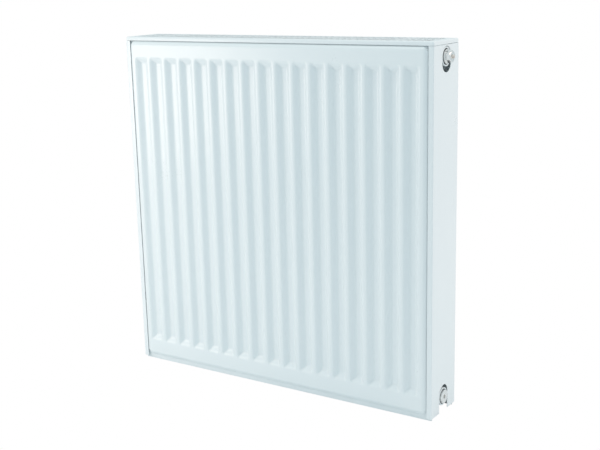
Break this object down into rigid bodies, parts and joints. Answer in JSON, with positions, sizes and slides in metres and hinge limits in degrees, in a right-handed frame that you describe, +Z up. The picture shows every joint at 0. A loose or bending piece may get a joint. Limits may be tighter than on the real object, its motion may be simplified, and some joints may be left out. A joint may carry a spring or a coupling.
{
  "type": "panel radiator",
  "caption": "White steel panel radiator with fluted front, two water panels, fins between them, lift-off top grille, pull-off side covers, threaded end ports, air vent and blank plug.",
  "frame": {"origin": "middle of the whole object's box in plan, on the plane that the bottom weld flanges stand on", "axes": "+X along the radiator towards the end with the air vent, +Y from the room towards the wall, +Z up"},
  "size_m": [0.6176, 0.103, 0.605],
  "materials": {
    "panel_paint": "gloss",
    "inner_panel_paint": "satin",
    "convector_paint": "satin",
    "tee_paint": "gloss",
    "lug_paint": "gloss",
    "side_cover_paint": "gloss",
    "grille_paint": "gloss",
    "clip_zinc": "satin",
    "plug_nickel": "satin",
    "bleed_brass": "satin",
    "seal_rubber": "matte"
  },
  "bodies": {
    "radiator": {"front_outer_sheet": "panel_paint", "front_inner_sheet": "inner_panel_paint", "rear_inner_sheet": "inner_panel_paint", "rear_outer_sheet": "panel_paint", "front_convector": "convector_paint", "rear_convector": "convector_paint", "tee_top_left": "tee_paint", "tee_bottom_left": "tee_paint", "tee_top_right": "tee_paint", "tee_bottom_right": "tee_paint", "lug_top_left": "lug_paint", "lug_bottom_left": "lug_paint", "lug_top_right": "lug_paint", "lug_bottom_right": "lug_paint", "vent_plug": "plug_nickel", "vent_plug_seal": "seal_rubber", "blank_plug": "plug_nickel", "blank_plug_seal": "seal_rubber"},
    "left_cover": {"left_side_cover": "side_cover_paint", "left_cover_clips": "clip_zinc"},
    "right_cover": {"right_side_cover": "side_cover_paint", "right_cover_clips": "clip_zinc"},
    "grille": {"top_grille": "grille_paint", "grille_clip_left": "clip_zinc", "grille_clip_right": "clip_zinc"},
    "bleed_seal": {"bleed_seal": "seal_rubber"},
    "bleed_screw": {"bleed_screw": "bleed_brass"}
  },
  "joints": [
    {"name": "grille_lift", "type": "slide", "parent": "radiator", "child": "grille", "axis": [0, 0, 1], "range_m": [0, 0.045]},
    {"name": "left_cover_pull", "type": "slide", "parent": "radiator", "child": "left_cover", "axis": [-1, 0, 0], "range_m": [0, 0.03]},
    {"name": "right_cover_pull", "type": "slide", "parent": "radiator", "child": "right_cover", "axis": [1, 0, 0], "range_m": [0, 0.03]},
    {"name": "bleed_seal_travel", "type": "slide", "parent": "radiator", "child": "bleed_seal", "axis": [1, 0, 0], "range_m": [0, 0.0015]},
    {"name": "bleed_screw_turn", "type": "hinge", "parent": "bleed_seal", "child": "bleed_screw", "pos_m": [0.30125, -0.004, 0.58], "axis": [1, 0, 0], "range_deg": [0, 540]}
  ],
  "couplings": [
    {"joint": "bleed_screw_turn", "follows": "bleed_seal_travel", "rad_per_m": 6283.2}
  ]
}
